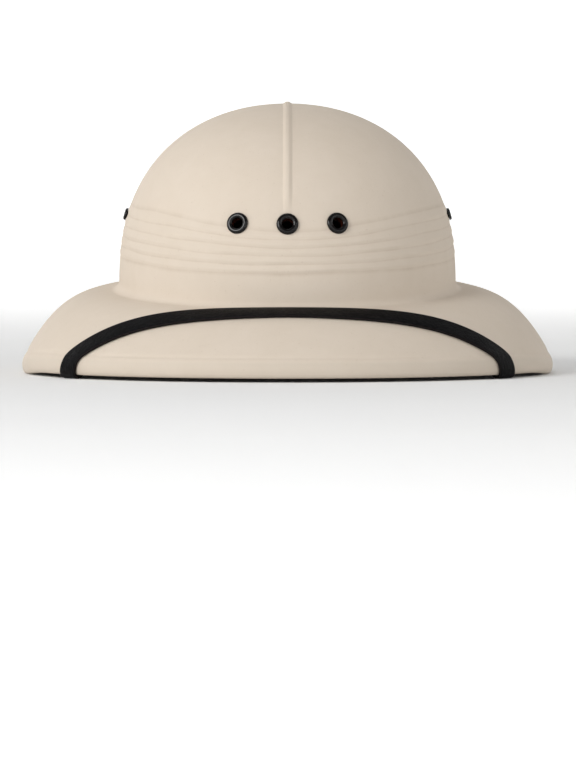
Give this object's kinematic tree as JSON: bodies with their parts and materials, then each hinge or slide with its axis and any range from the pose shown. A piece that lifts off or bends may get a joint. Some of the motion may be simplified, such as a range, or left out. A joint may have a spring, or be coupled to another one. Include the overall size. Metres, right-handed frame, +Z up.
{
  "type": "pith helmet",
  "caption": "Domed pressed-fibre sun helmet with a deep sloping brim, moulded wrap folds, eyelet vents, a leather chin strap over the brim and a hung headband.",
  "frame": {"origin": "on the surface that the helmet rests on, under the middle of the rim", "axes": "+Z up through the crown, front towards -Y, +X to the wearer's left"},
  "size_m": [0.312, 0.344, 0.1591],
  "materials": {
    "pressed_fibre": "matt tan paint over pressed fibre",
    "eyelet": "gloss black enamel",
    "strap_leather": "smooth black",
    "band": "satin black",
    "sweat_leather": "soft brown",
    "post": "plain brown"
  },
  "bodies": {
    "root": {"shell": "pressed_fibre", "vent_front_left": "eyelet", "vent_front_centre": "eyelet", "vent_front_right": "eyelet", "vent_side_left": "eyelet", "vent_side_right": "eyelet", "chin_strap": "strap_leather", "headband": "band", "sweatband": "sweat_leather", "band_post_front": "post", "band_post_back": "post", "band_post_left": "post", "band_post_right": "post"}
  },
  "joints": []
}
